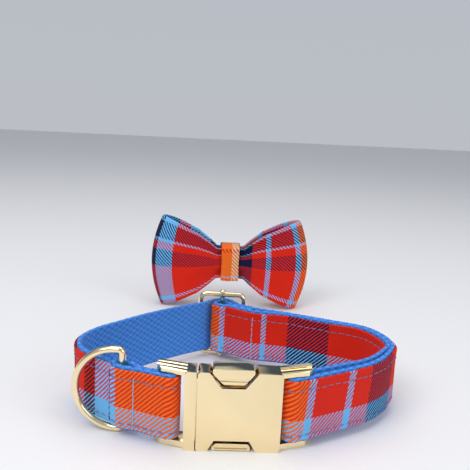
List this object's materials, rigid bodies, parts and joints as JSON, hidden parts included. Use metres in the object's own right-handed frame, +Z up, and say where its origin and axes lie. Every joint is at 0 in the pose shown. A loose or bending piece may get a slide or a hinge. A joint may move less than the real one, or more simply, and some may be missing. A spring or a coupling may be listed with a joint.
{
  "type": "pet bow tie collar",
  "caption": "Plaid pet collar with a metal side-release buckle, slider and D-ring, fastened in a loop, and its matching bow tie standing apart behind it.",
  "frame": {"origin": "middle of the bounding box's bottom face, on the surface that the collar and the bow tie stand on", "axes": "+Z up across the strap's width; the buckle's plate faces -Y; +X runs along the buckle from its male to its female half; the bow tie stands at +Y and faces -Y"},
  "size_m": [0.135, 0.1894, 0.058],
  "materials": {
    "blue_webbing": "coarse woven cotton",
    "plaid_cloth": "twill plaid",
    "knot_cloth": "twill plaid",
    "pale_gold": "polished pale gold plate",
    "black_elastic": "ribbed elastic"
  },
  "bodies": {
    "collar": {"webbing": "blue_webbing", "plaid_strip": "plaid_cloth", "buckle_female": "pale_gold", "buckle_male": "pale_gold", "slider": "pale_gold", "bow_band": "plaid_cloth", "bow_knot": "knot_cloth", "bow_elastic": "black_elastic"},
    "lever_top": {"lever_top": "pale_gold"},
    "lever_bottom": {"lever_bottom": "pale_gold"},
    "d_ring": {"d_ring": "pale_gold"}
  },
  "joints": [
    {"name": "lever_top_press", "type": "hinge", "parent": "collar", "child": "lever_top", "pos_m": [-0.01346, -0.09042, 0.0259], "axis": [0, 1, 0], "range_deg": [0, 3], "stiffness_Nm_per_rad": 0.05},
    {"name": "lever_bottom_press", "type": "hinge", "parent": "collar", "child": "lever_bottom", "pos_m": [-0.01346, -0.09042, 0.0047], "axis": [0, -1, 0], "range_deg": [0, 3], "stiffness_Nm_per_rad": 0.05},
    {"name": "d_ring_swing", "type": "hinge", "parent": "collar", "child": "d_ring", "pos_m": [-0.04481, -0.08231, 0.01725], "axis": [0, 0, 1], "range_deg": [-4, 115]}
  ]
}
